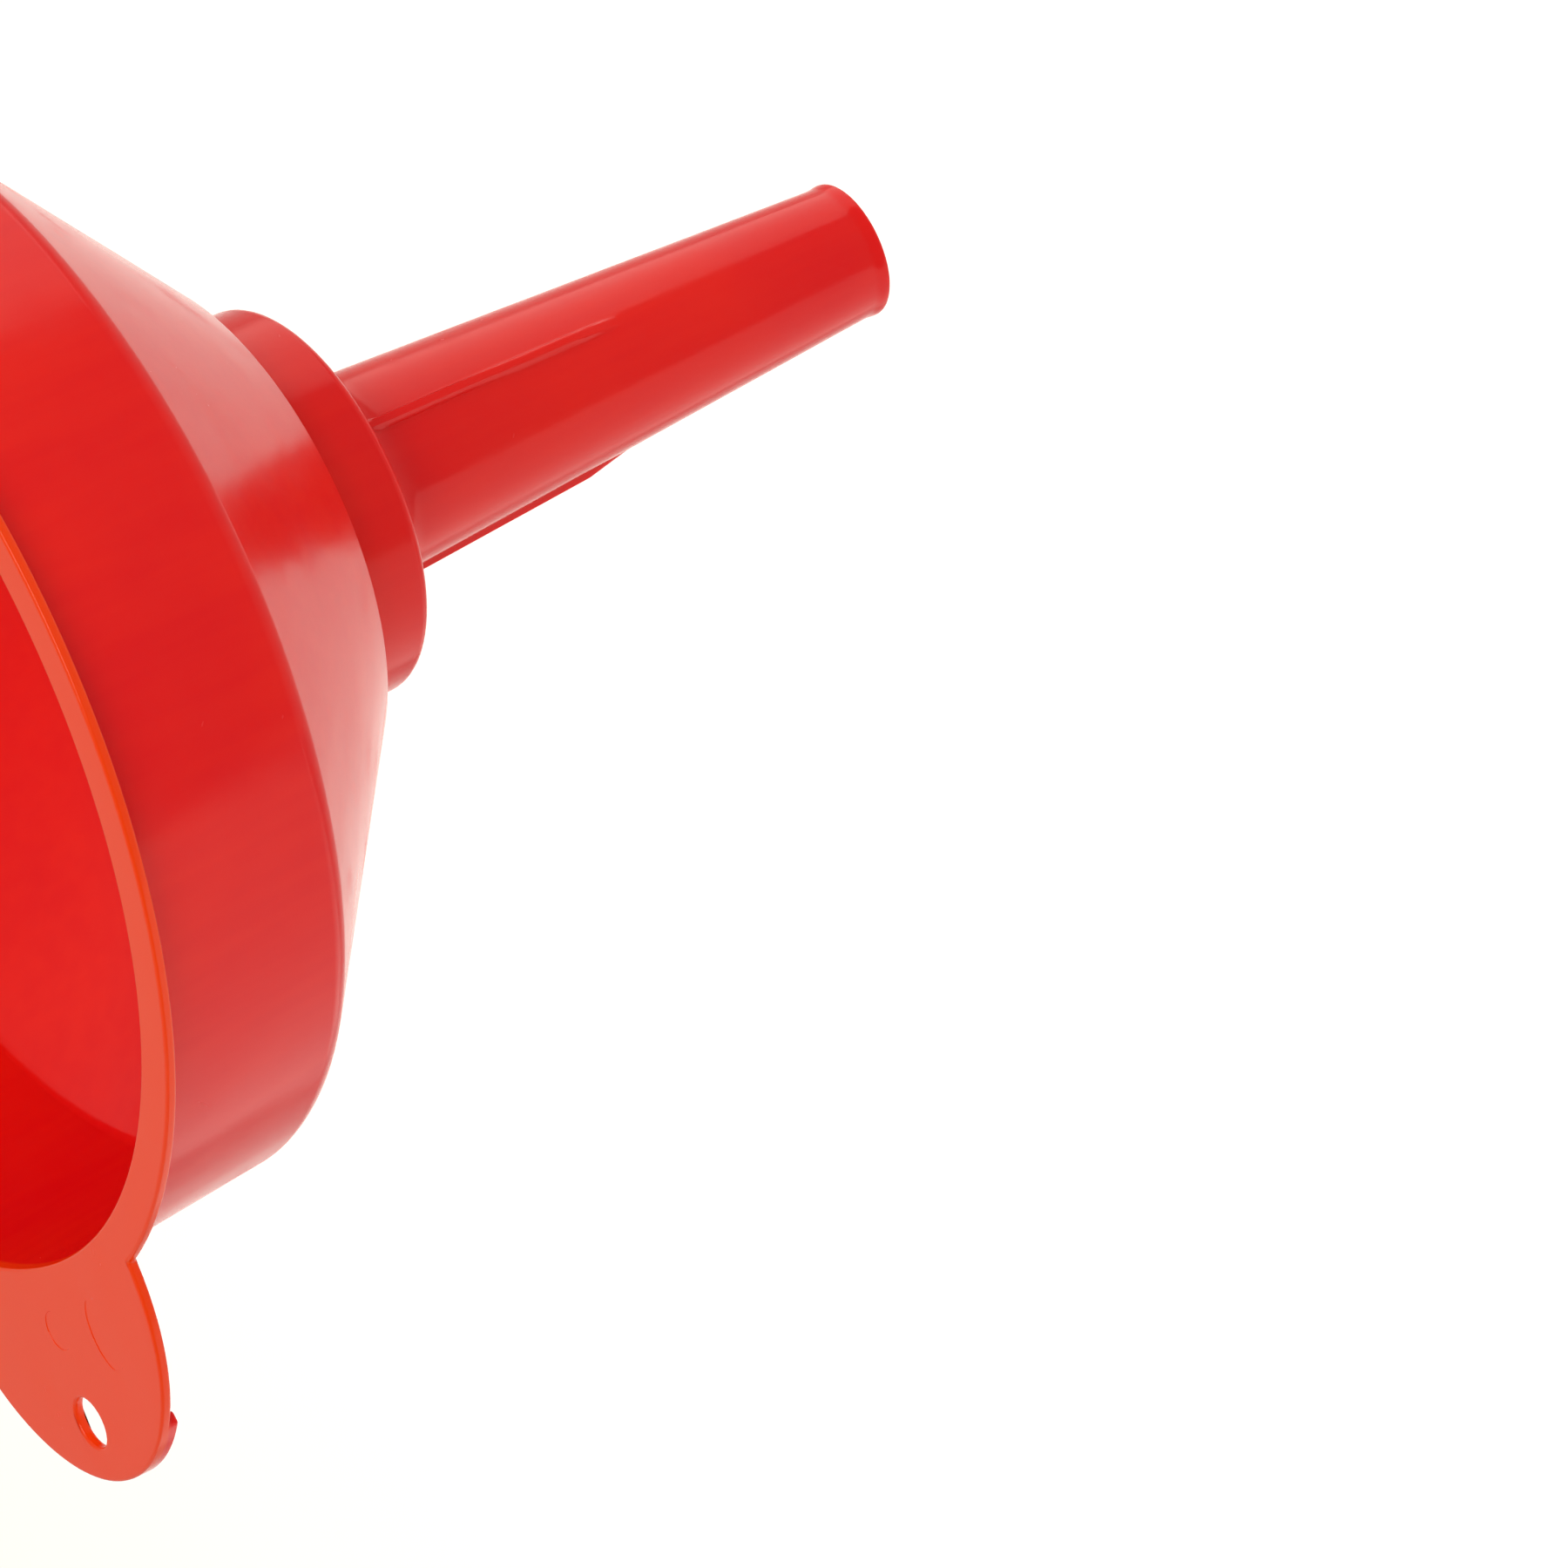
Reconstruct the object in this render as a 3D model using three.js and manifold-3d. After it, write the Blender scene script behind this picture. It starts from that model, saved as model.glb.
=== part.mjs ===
// A moulded polyethylene filling funnel with a lift-out strainer.
// Millimetres, mouth up. The axis is Z, the hang tab points along +X, and the origin is on the axis
// in the plane of the shoulder that comes to rest on a filler neck.
import * as THREE from 'three';
import { mergeVertices } from 'three/addons/utils/BufferGeometryUtils.js';
import Module from 'manifold-3d';

// Bowl: collar, cone and the pocket under the strainer's ledge. Radii are of the inner surface.
const WALL = 2.4;
const MOUTH_RADIUS = 80;
const COLLAR_HEIGHT = 32.3;
const COLLAR_DRAFT = 2.5;
const CONE_HEIGHT = 35.4;
const LEDGE_WIDTH = 10.5;
const POCKET_RADIUS = 26.7;
const POCKET_DEPTH = 13.9;
const POCKET_DRAFT = 0.3;

// Spout and the vent ribs that keep it off the neck, so that air can leave. Radii are of the bore,
// and the ribs are turned by RIB_TURN degrees from the tab.
const SPOUT_LENGTH = 92.4;
const SPOUT_WALL = 2;
const SPOUT_ROOT_RADIUS = 13.3;
const SPOUT_TIP_RADIUS = 7.7;
const RIB_COUNT = 3;
const RIB_LENGTH = 49;
const RIB_RUN_OUT = 8;
const RIB_HEIGHT = 1;
const RIB_WIDTH = 1.6;
const RIB_SINK = 0.1;
const RIB_TURN = -2.5;

// Fillets of the moulding, each named for the corner that it rounds.
const ROOT_FILLET = 9.5;
const SHOULDER_FILLET = 1.6;
const LEDGE_FILLET = 1;
const COLLAR_FILLET = 4;
const COLLAR_INNER_FILLET = 2;
const POCKET_FILLET = 1;
const ENTRY_FILLET = 11;

// Rim flange and the round-ended hang tab, which has a stiffening skirt under its end. Its hole is
// a little to the -Y side of the tab's middle.
const FLANGE_WIDTH = 6.4;
const FLANGE_THICKNESS = 1.6;
const TAB_RADIUS = 30.6;
const TAB_OFFSET = 1.4;
const HOLE_RADIUS = 3.8;
const HOLE_SETBACK = 8.9;
const HOLE_SIDE = 1.9;
const SKIRT_WALL = 1.8;
const SKIRT_DEPTH = 3.1;
const SKIRT_LENGTH = 8;

// Strainer: a frame ring with four spokes, gauze, a ring that holds the gauze's edge, and a knob.
const SEAT_GAP = 0.2;
const RING_CLEARANCE = 0.6;
const SPIGOT_CLEARANCE = 0.5;
const SPIGOT_WALL = 1.5;
const SPIGOT_DEPTH = 6;
const FRAME_FLOOR = 1.2;
const REBATE_WIDTH = 6.3;
const REBATE_DEPTH = 2;
const SPOKE_COUNT = 4;
const SPOKE_WIDTH = 1.6;
const SPOKE_HEIGHT = 2.6;
const HUB_RADIUS = 5;
const POST_RADIUS = 2.2;
const POST_HEIGHT = 8;
const GAUZE_THICKNESS = 0.4;
const LAYER_GAP = 0.1;
const FIT_GAP = 0.3;
const RETAINER_WIDTH = 5;
const RETAINER_THICKNESS = 1.2;
const KNOB_HEIGHT = 15;
const KNOB_RADIUS = 6;
const KNOB_NECK_WALL = 1.1;
const KNOB_NECK_FILLET = 1.5;
const KNOB_TOP_FILLET = 2.5;

const ROUND_SIDES = 72;
const SMALL_SIDES = 24;

// A fillet has at least ARC_STEPS facets, none much longer than ARC_FACET, and takes at most
// FILLET_SHARE of the shorter side that it rounds off.
const ARC_STEPS = 2;
const ARC_FACET = 3;
const FILLET_SHARE = 0.8;

// Heights and radii that follow from the sizes above.
const LEDGE_Z = WALL + POCKET_DEPTH;
const RIM_Z = LEDGE_Z + CONE_HEIGHT + COLLAR_HEIGHT;
const LEDGE_RADIUS = POCKET_RADIUS + LEDGE_WIDTH;
const FLANGE_RADIUS = MOUTH_RADIUS + FLANGE_WIDTH;
const TAB_CENTRE = MOUTH_RADIUS + TAB_OFFSET;
const HOLE_X = TAB_CENTRE + TAB_RADIUS - HOLE_SETBACK;
const FRAME_Z = LEDGE_Z + SEAT_GAP;
const GAUZE_Z = FRAME_Z + FRAME_FLOOR + LAYER_GAP;
const CLAMP_Z = GAUZE_Z + GAUZE_THICKNESS + LAYER_GAP;
const SPIGOT_RADIUS = POCKET_RADIUS - SPIGOT_CLEARANCE;
const STRAINER_BORE = SPIGOT_RADIUS - SPIGOT_WALL;
const REBATE_RADIUS = STRAINER_BORE + REBATE_WIDTH;

const wasm = await Module();
wasm.setup();

const point = (radius, height) => new THREE.Vector2(radius, height);

// Turns a closed three.js geometry into a solid that can be joined and cut.
function toSolid(geometry) {
  const bare = geometry.index ? geometry.toNonIndexed() : geometry.clone();
  bare.deleteAttribute('normal');
  bare.deleteAttribute('uv');
  const merged = mergeVertices(bare, 1e-4);
  const index = merged.index.array;
  const triangles = [];
  for (let i = 0; i < index.length; i += 3) {
    const [a, b, c] = index.slice(i, i + 3);
    if (a !== b && b !== c && c !== a) triangles.push(a, b, c);
  }
  const vertices = Float32Array.from(merged.attributes.position.array);
  return new wasm.Manifold(
    new wasm.Mesh({ numProp: 3, vertProperties: vertices, triVerts: Uint32Array.from(triangles) }),
  );
}

function toMesh(name, solid, material) {
  const result = solid.getMesh();
  const geometry = new THREE.BufferGeometry();
  geometry.setAttribute('position', new THREE.BufferAttribute(result.vertProperties, 3));
  geometry.setIndex(new THREE.BufferAttribute(result.triVerts, 1));
  geometry.computeVertexNormals();
  const mesh = new THREE.Mesh(geometry, material);
  mesh.name = name;
  return mesh;
}

// Replaces one corner of an outline by an arc that is tangent to both of its sides.
function roundedCorner(before, corner, after, radius) {
  const back = before.clone().sub(corner);
  const forth = after.clone().sub(corner);
  const half = back.angleTo(forth) / 2;
  const room = FILLET_SHARE * Math.min(back.length(), forth.length());
  const reach = Math.min(radius / Math.tan(half), room);
  const start = corner.clone().addScaledVector(back.normalize(), reach);
  const end = corner.clone().addScaledVector(forth.normalize(), reach);
  const inward = back.add(forth).normalize();
  const centre = corner.clone().addScaledVector(inward, reach / Math.cos(half));
  const first = start.clone().sub(centre);
  const last = end.clone().sub(centre);
  const sweep = Math.sign(first.cross(last)) * (Math.PI - 2 * half);
  const steps = Math.max(ARC_STEPS, Math.round(Math.abs(sweep) * first.length() / ARC_FACET));
  const arc = [];
  for (let i = 0; i <= steps; i += 1) {
    arc.push(start.clone().rotateAround(centre, (sweep * i) / steps));
  }
  return arc;
}

// An outline given as [corner, fillet radius] pairs, anticlockwise with the radius to the right.
function outline(corners, closed = true) {
  const count = corners.length;
  const points = [];
  corners.forEach(([corner, fillet], i) => {
    const before = corners[(i + count - 1) % count][0];
    const after = corners[(i + 1) % count][0];
    if (fillet > 0) points.push(...roundedCorner(before, corner, after, fillet));
    else points.push(corner);
  });
  if (closed) points.push(points[0].clone());
  return points;
}

// Spins an outline around the Z axis.
function turned(points, sides = ROUND_SIDES) {
  return toSolid(new THREE.LatheGeometry(points, sides).rotateX(Math.PI / 2));
}

// A round bar along Z from one height to another, centred at x.
function bar(radius, bottom, top, x = 0, sides = SMALL_SIDES) {
  const geometry = new THREE.CylinderGeometry(radius, radius, top - bottom, sides);
  geometry.rotateX(Math.PI / 2).translate(x, 0, (bottom + top) / 2);
  return toSolid(geometry);
}

// Where the outer skin turns: the inner corner moved out by the wall on both of its sides.
function skinCorner(before, corner, after, wall) {
  const first = corner.clone().sub(before).normalize();
  const second = after.clone().sub(corner).normalize();
  const normal = point(-first.y - second.y, first.x + second.x).normalize();
  const spread = -first.y * normal.x + first.x * normal.y;
  return corner.clone().addScaledVector(normal, wall / spread);
}

function bowlAndSpout() {
  const mouth = point(MOUTH_RADIUS, RIM_Z);
  const collarFoot = point(MOUTH_RADIUS - COLLAR_DRAFT, RIM_Z - COLLAR_HEIGHT);
  const coneFoot = point(LEDGE_RADIUS, LEDGE_Z);
  const ledgeEdge = point(POCKET_RADIUS, LEDGE_Z);
  const pocketFoot = point(POCKET_RADIUS - POCKET_DRAFT, WALL);
  const spoutEntry = point(SPOUT_ROOT_RADIUS, WALL);

  const outerCollarFoot = skinCorner(mouth, collarFoot, coneFoot, WALL);
  const flangeFoot = RIM_Z - FLANGE_THICKNESS;
  const collarRise = flangeFoot - outerCollarFoot.y;
  const collarSlope = COLLAR_DRAFT / COLLAR_HEIGHT;
  const outerCollarTop = point(outerCollarFoot.x + collarRise * collarSlope, flangeFoot);

  return turned(outline([
    [point(SPOUT_TIP_RADIUS + SPOUT_WALL, -SPOUT_LENGTH), 0],
    [point(SPOUT_ROOT_RADIUS + SPOUT_WALL, 0), ROOT_FILLET],
    [skinCorner(ledgeEdge, pocketFoot, spoutEntry, WALL), SHOULDER_FILLET],
    [skinCorner(coneFoot, ledgeEdge, pocketFoot, WALL), LEDGE_FILLET],
    [skinCorner(collarFoot, coneFoot, ledgeEdge, WALL), 0],
    [outerCollarFoot, COLLAR_FILLET],
    [outerCollarTop, 0],
    [point(FLANGE_RADIUS, flangeFoot), 0],
    [point(FLANGE_RADIUS, RIM_Z), 0],
    [mouth, 0],
    [collarFoot, COLLAR_INNER_FILLET],
    [coneFoot, 0],
    [ledgeEdge, 0],
    [pocketFoot, POCKET_FILLET],
    [spoutEntry, ENTRY_FILLET],
    [point(SPOUT_TIP_RADIUS, -SPOUT_LENGTH), 0],
  ]));
}

// The tab is a disc that grows out of the flange, cut off halfway through the collar's wall.
function hangTab() {
  const end = TAB_CENTRE + TAB_RADIUS;
  const top = RIM_Z;
  const plate = bar(TAB_RADIUS, top - FLANGE_THICKNESS, top, TAB_CENTRE, ROUND_SIDES);
  const block = new THREE.BoxGeometry(SKIRT_LENGTH, 2 * TAB_RADIUS, SKIRT_DEPTH);
  block.translate(end - SKIRT_LENGTH / 2, 0, top - SKIRT_DEPTH / 2);
  const skirt = bar(TAB_RADIUS, top - SKIRT_DEPTH, top, TAB_CENTRE, ROUND_SIDES)
    .subtract(bar(TAB_RADIUS - SKIRT_WALL, top - 2 * SKIRT_DEPTH, top, TAB_CENTRE, ROUND_SIDES))
    .intersect(toSolid(block));
  const mouth = bar(MOUTH_RADIUS + WALL / 2, 0, 2 * top, 0, ROUND_SIDES);
  return plate.add(skirt).subtract(mouth);
}

// A vent rib stands RIB_HEIGHT off the spout and runs out into its skin at the lower end. Its root
// is in the middle of the spout's wall, and its upper end is in the wall under the root fillet,
// just above where its crest meets that fillet.
function ventRib(angle) {
  const slope = (SPOUT_ROOT_RADIUS - SPOUT_TIP_RADIUS) / SPOUT_LENGTH;
  const skin = (z) => SPOUT_ROOT_RADIUS + SPOUT_WALL + slope * z;
  const meets = Math.sqrt((2 * ROOT_FILLET - RIB_HEIGHT) * RIB_HEIGHT) - ROOT_FILLET;
  const top = meets + SPOUT_WALL / 2;
  const root = SPOUT_WALL / 2;
  const shape = new THREE.Shape([
    point(skin(top) - root, top),
    point(skin(-RIB_LENGTH) - root, -RIB_LENGTH),
    point(skin(-RIB_LENGTH) - RIB_SINK, -RIB_LENGTH),
    point(skin(RIB_RUN_OUT - RIB_LENGTH) + RIB_HEIGHT, RIB_RUN_OUT - RIB_LENGTH),
    point(skin(top) + RIB_HEIGHT, top),
  ]);
  const geometry = new THREE.ExtrudeGeometry(shape, { depth: RIB_WIDTH, bevelEnabled: false });
  geometry.translate(0, 0, -RIB_WIDTH / 2).rotateX(Math.PI / 2).rotateZ(angle);
  return toSolid(geometry);
}

function funnelBody(material) {
  let body = bowlAndSpout().add(hangTab());
  for (let i = 0; i < RIB_COUNT; i += 1) {
    body = body.add(ventRib(THREE.MathUtils.degToRad(RIB_TURN) + (2 * Math.PI * i) / RIB_COUNT));
  }
  const hole = bar(HOLE_RADIUS, RIM_Z - 2 * SKIRT_DEPTH, RIM_Z + SKIRT_DEPTH, HOLE_X);
  return toMesh('funnel_body', body.subtract(hole.translate([0, -HOLE_SIDE, 0])), material);
}

// The frame rests on the ledge, and its spigot centres it in the pocket.
function strainerFrame(material) {
  const rim = LEDGE_RADIUS - RING_CLEARANCE;
  const floor = FRAME_Z + FRAME_FLOOR;
  let frame = turned(outline([
    [point(STRAINER_BORE, FRAME_Z - SPIGOT_DEPTH), 0],
    [point(SPIGOT_RADIUS, FRAME_Z - SPIGOT_DEPTH), 0],
    [point(SPIGOT_RADIUS, FRAME_Z), 0],
    [point(rim, FRAME_Z), 0],
    [point(rim, floor + REBATE_DEPTH), 0],
    [point(REBATE_RADIUS, floor + REBATE_DEPTH), 0],
    [point(REBATE_RADIUS, floor), 0],
    [point(STRAINER_BORE, floor), 0],
  ]));
  const reach = STRAINER_BORE + SPIGOT_WALL / 2;
  for (let i = 0; i < SPOKE_COUNT / 2; i += 1) {
    const spokes = new THREE.BoxGeometry(2 * reach, SPOKE_WIDTH, SPOKE_HEIGHT);
    spokes.translate(0, 0, floor - SPOKE_HEIGHT / 2).rotateZ((2 * Math.PI * i) / SPOKE_COUNT);
    frame = frame.add(toSolid(spokes));
  }
  frame = frame.add(bar(HUB_RADIUS, floor - SPOKE_HEIGHT, floor));
  frame = frame.add(bar(POST_RADIUS, floor - SPOKE_HEIGHT / 2, floor + POST_HEIGHT));
  return toMesh('strainer_frame', frame, material);
}

// A flat ring between two radii.
function washer(inner, outer, bottom, thickness) {
  return turned(outline([
    [point(inner, bottom), 0],
    [point(outer, bottom), 0],
    [point(outer, bottom + thickness), 0],
    [point(inner, bottom + thickness), 0],
  ]));
}

function strainerGauze(material) {
  const inner = POST_RADIUS + FIT_GAP;
  const outer = REBATE_RADIUS - FIT_GAP;
  return toMesh('strainer_gauze', washer(inner, outer, GAUZE_Z, GAUZE_THICKNESS), material);
}

function retainingRing(material) {
  const outer = REBATE_RADIUS - FIT_GAP;
  const ring = washer(outer - RETAINER_WIDTH, outer, CLAMP_Z, RETAINER_THICKNESS);
  return toMesh('gauze_retaining_ring', ring, material);
}

// The knob pushes onto the post and holds the middle of the gauze down with its foot.
function liftKnob(material) {
  const bore = POST_RADIUS + FIT_GAP;
  const boreTop = FRAME_Z + FRAME_FLOOR + POST_HEIGHT + FIT_GAP;
  const top = CLAMP_Z + KNOB_HEIGHT;
  const neck = bore + KNOB_NECK_WALL;
  const knob = turned(outline([
    [point(0, boreTop), 0],
    [point(bore, boreTop), 0],
    [point(bore, CLAMP_Z), 0],
    [point(HUB_RADIUS, CLAMP_Z), 0],
    [point(HUB_RADIUS, CLAMP_Z + RETAINER_THICKNESS), 0],
    [point(neck, CLAMP_Z + 2 * RETAINER_THICKNESS), 0],
    [point(neck, top - KNOB_RADIUS), KNOB_NECK_FILLET],
    [point(KNOB_RADIUS, top - KNOB_RADIUS / 2), 0],
    [point(KNOB_RADIUS, top), KNOB_TOP_FILLET],
    [point(0, top), 0],
  ], false), SMALL_SIDES);
  return toMesh('lift_knob', knob, material);
}

const glossyRed = { color: 0xe0201a, roughness: 0.22, metalness: 0 };
const bodyMaterial = new THREE.MeshStandardMaterial(glossyRed);
const frameMaterial = new THREE.MeshStandardMaterial({ ...glossyRed, roughness: 0.35 });
const ringMaterial = new THREE.MeshStandardMaterial({ ...glossyRed, roughness: 0.35 });
const knobMaterial = new THREE.MeshStandardMaterial({ ...glossyRed, roughness: 0.3 });
const brass = new THREE.MeshStandardMaterial({ color: 0xb08d4c, roughness: 0.35, metalness: 1 });

const funnel = new THREE.Group();
funnel.add(
  funnelBody(bodyMaterial),
  strainerFrame(frameMaterial),
  strainerGauze(brass),
  retainingRing(ringMaterial),
  liftKnob(knobMaterial),
);

export default funnel;
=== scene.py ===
"""A moulded polyethylene filling funnel with a lift-out gauze strainer.

Metres, mouth up. The axis is Z and the hang tab points along +X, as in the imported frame. The sizes of
the funnel's pieces are in millimetres, and MM turns them to metres. The studio's are in metres.
"""

import math

import bmesh
import bpy
from mathutils import Matrix, Quaternion, Vector


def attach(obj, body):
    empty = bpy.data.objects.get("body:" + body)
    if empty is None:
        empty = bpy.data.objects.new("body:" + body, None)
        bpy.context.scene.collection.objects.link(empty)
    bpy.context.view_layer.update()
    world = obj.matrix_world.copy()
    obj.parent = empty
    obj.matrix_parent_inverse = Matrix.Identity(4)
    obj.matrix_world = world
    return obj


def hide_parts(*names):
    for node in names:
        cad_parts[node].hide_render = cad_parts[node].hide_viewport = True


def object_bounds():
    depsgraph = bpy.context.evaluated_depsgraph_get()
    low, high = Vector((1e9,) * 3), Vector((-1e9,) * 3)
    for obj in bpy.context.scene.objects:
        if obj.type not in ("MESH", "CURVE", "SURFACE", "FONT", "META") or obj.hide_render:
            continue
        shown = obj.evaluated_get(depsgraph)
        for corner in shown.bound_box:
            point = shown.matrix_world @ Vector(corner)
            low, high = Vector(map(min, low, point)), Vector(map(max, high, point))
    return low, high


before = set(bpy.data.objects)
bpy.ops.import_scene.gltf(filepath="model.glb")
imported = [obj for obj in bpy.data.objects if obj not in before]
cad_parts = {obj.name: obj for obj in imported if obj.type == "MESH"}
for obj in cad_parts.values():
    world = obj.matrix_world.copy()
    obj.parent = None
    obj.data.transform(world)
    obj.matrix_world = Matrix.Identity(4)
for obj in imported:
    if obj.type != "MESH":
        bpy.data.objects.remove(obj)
cad_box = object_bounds()
scene = bpy.context.scene
MM = 0.001

# The camera: a long lens a good two metres away on the +Y side, looking down on the funnel and rolled
# so that its spout points up to the right.
LENS = 400
SENSOR = 36
VIEW_AZIMUTH = 172.5
VIEW_ELEVATION = 26.35
VIEW_ROLL = 115.65
VIEW_DISTANCE = 2.417
VIEW_AIM = Vector((61.17, 26.0, -37.9)) * MM
NEAR_CLIP = 0.1
FAR_CLIP = 60

lens = bpy.data.cameras.new("camera")
lens.lens = LENS
lens.sensor_width = SENSOR
lens.clip_start = NEAR_CLIP
lens.clip_end = FAR_CLIP
camera = bpy.data.objects.new("camera", lens)
scene.collection.objects.link(camera)
scene.camera = camera
across = math.cos(math.radians(VIEW_ELEVATION))
sight = Vector(
    (
        across * math.sin(math.radians(VIEW_AZIMUTH)),
        across * math.cos(math.radians(VIEW_AZIMUTH)),
        -math.sin(math.radians(VIEW_ELEVATION)),
    )
)
level = sight.to_track_quat("-Z", "Y")
rolled = Quaternion(sight, math.radians(VIEW_ROLL)) @ level
camera.matrix_world = Matrix.LocRotScale(VIEW_AIM - VIEW_DISTANCE * sight, rolled, None)

# The studio: a matt white floor well below the spout's tip, in a pale room that is brighter behind the
# funnel than before it. Three softboxes stand round the funnel, each so many metres right, down and
# away as the camera sees it. A fourth light over the floor behind makes it a white backdrop.
FLOOR_DROP = 0.9
FLOOR_SPAN = 40
FLOOR_WHITE = ("#F2F2F1", "#F8F8F7")
FLOOR_ROUGHNESS = 0.9
MOTTLES_PER_METRE = 3.0
ROOM_BEHIND = 0.7
ROOM_BEFORE = 0.13
ROOM_FALL = (-0.3, 0.75)
ROOM_WHITE = "#FFF8F1"
LAMP_WHITE = "#FFF6EC"
SOFTBOXES = (
    ("upper softbox", (-0.03, -1.08, 0.2), (1.2, 0.7), 3.5),
    ("lower softbox", (0.8, 0.7, 0.2), (1.6, 1.0), 4.6),
    ("front softbox", (-0.5, 0, -1.6), (1.3, 1.0), 17),
)
BACKDROP_PLACE = (0.3, -1.9, -0.15)
BACKDROP_SIZE = (1.6, 2.2)
BACKDROP_WATTS = 15
# A Mix node's colour sockets share their names with others, so they go by number.
MIX_SHARE, MIX_FIRST, MIX_SECOND, MIX_RESULT = 0, 6, 7, 2


def linear(hex_colour):
    """An sRGB hex colour as a linear RGBA value."""
    parts = [int(hex_colour[i : i + 2], 16) / 255 for i in (1, 3, 5)]
    return (*(c / 12.92 if c < 0.04045 else ((c + 0.055) / 1.055) ** 2.4 for c in parts), 1)


def add_node(tree, kind, inputs=None, out=0, **settings):
    """Adds a shader node with its settings, gives its inputs a value or a link each, and gives back
    one of its outputs."""
    made = tree.nodes.new(kind)
    for name, value in settings.items():
        setattr(made, name, value)
    for name, value in (inputs or {}).items():
        if isinstance(value, bpy.types.NodeSocket):
            tree.links.new(value, made.inputs[name])
        else:
            made.inputs[name].default_value = value
    return made.outputs[out]


def new_material(name):
    """An empty node material, with its tree and its output node."""
    material = bpy.data.materials.new(name)
    material.use_nodes = True
    tree = material.node_tree
    tree.nodes.clear()
    return material, tree, tree.nodes.new("ShaderNodeOutputMaterial")


floor_paint, tree, output = new_material("matt white paint")
place = add_node(tree, "ShaderNodeTexCoord", out="Object")
mottle = add_node(
    tree, "ShaderNodeTexNoise", {"Vector": place, "Scale": MOTTLES_PER_METRE, "Detail": 2.0}
)
white = add_node(
    tree,
    "ShaderNodeMix",
    {MIX_SHARE: mottle, MIX_FIRST: linear(FLOOR_WHITE[0]), MIX_SECOND: linear(FLOOR_WHITE[1])},
    out=MIX_RESULT,
    data_type="RGBA",
)
paint = add_node(
    tree, "ShaderNodeBsdfPrincipled", {"Base Color": white, "Roughness": FLOOR_ROUGHNESS}
)
tree.links.new(paint, output.inputs["Surface"])

floor_mesh = bpy.data.meshes.new("floor")
shape = bmesh.new()
bmesh.ops.create_grid(shape, x_segments=1, y_segments=1, size=FLOOR_SPAN / 2)
bmesh.ops.translate(shape, vec=(0, 0, cad_box[0][2] - FLOOR_DROP), verts=shape.verts)
shape.to_mesh(floor_mesh)
shape.free()
floor_mesh.materials.append(floor_paint)
floor = bpy.data.objects.new("floor", floor_mesh)
scene.collection.objects.link(floor)

room = bpy.data.worlds.new("room")
room.use_nodes = True
glow = room.node_tree.nodes["Background"]
direction = add_node(room.node_tree, "ShaderNodeTexCoord", out="Generated")
side = add_node(room.node_tree, "ShaderNodeSeparateXYZ", {"Vector": direction}, out="Y")
fall = add_node(
    room.node_tree,
    "ShaderNodeMapRange",
    {
        "Value": side,
        "From Min": ROOM_FALL[0],
        "From Max": ROOM_FALL[1],
        "To Min": ROOM_BEHIND,
        "To Max": ROOM_BEFORE,
    },
    interpolation_type="SMOOTHSTEP",
)
glow.inputs["Color"].default_value = linear(ROOM_WHITE)
room.node_tree.links.new(fall, glow.inputs["Strength"])
scene.world = room
scene.view_settings.view_transform = "Standard"


def softbox(name, place, target, size, watts):
    """A broad area light that faces a target and isn't itself in view."""
    light = bpy.data.lights.new(name, "AREA")
    light.shape = "RECTANGLE"
    light.size, light.size_y = size
    light.energy = watts
    light.color = linear(LAMP_WHITE)[:3]
    lamp = bpy.data.objects.new(name, light)
    facing = (Vector(target) - Vector(place)).to_track_quat("-Z", "Y")
    lamp.matrix_world = Matrix.LocRotScale(Vector(place), facing, None)
    lamp.visible_camera = False
    scene.collection.objects.link(lamp)


def seen_from_camera(right, down, away):
    """A place so many metres right, down and away from the scene's origin, as the camera sees it."""
    return rolled @ Vector((right, -down, -away))


for name, place, size, watts in SOFTBOXES:
    softbox(name, seen_from_camera(*place), (0, 0, 0), size, watts)
backdrop_foot = (BACKDROP_PLACE[0], BACKDROP_PLACE[1], floor_mesh.vertices[0].co.z)
softbox("backdrop light", BACKDROP_PLACE, backdrop_foot, BACKDROP_SIZE, BACKDROP_WATTS)


# The funnel body: one injection moulding in polyethylene. A turned bowl and spout, with a rim flange
# that grows out into the hang tab, a skirt under the tab's end, and three vent ribs down the spout.
WALL = 2.4
SPOUT_WALL = 2.0
COLLAR_HEIGHT = 32.3
COLLAR_DRAFT = 2.5
LEDGE_WIDTH = 10.5
POCKET_RADIUS = 26.7
POCKET_DRAFT = 0.3
LEDGE_HEIGHT = 16.3
SPOUT_ROOT_RADIUS = 15.3
SPOUT_TIP_RADIUS = 9.7
FLANGE_WIDTH = 6.4
FLANGE_THICKNESS = 1.6
TAB_RADIUS = 30.6
SKIRT_WALL = 1.8
SKIRT_DEPTH = 3.1
SKIRT_LENGTH = 8.0
HOLE_RADIUS = 3.8
HOLE_SETBACK = 8.9
HOLE_SIDE = 1.9
RIB_COUNT = 3
RIB_LENGTH = 49.0
RIB_RUN_OUT = 8.0
RIB_HEIGHT = 1.0
RIB_TURN = -2.5
RIB_WIDTH = 1.6
RIB_FLANK_FOOT = 1.3
RIB_FLANK = 0.6
ROOT_FILLET_REACH = 8.94
ENTRY_FILLET_REACH = 10.35
TIP_LIP = 0.3
TIP_LIP_LENGTH = 1.0
EDGE_ROUND = 0.45
EDGE_STEPS = 3
BAR_STEPS = 64
SHARP_ANGLE = 38
# Places closer than this are the same, and the tab's end stays this far inside the CAD's.
NEAR = 0.01

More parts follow.
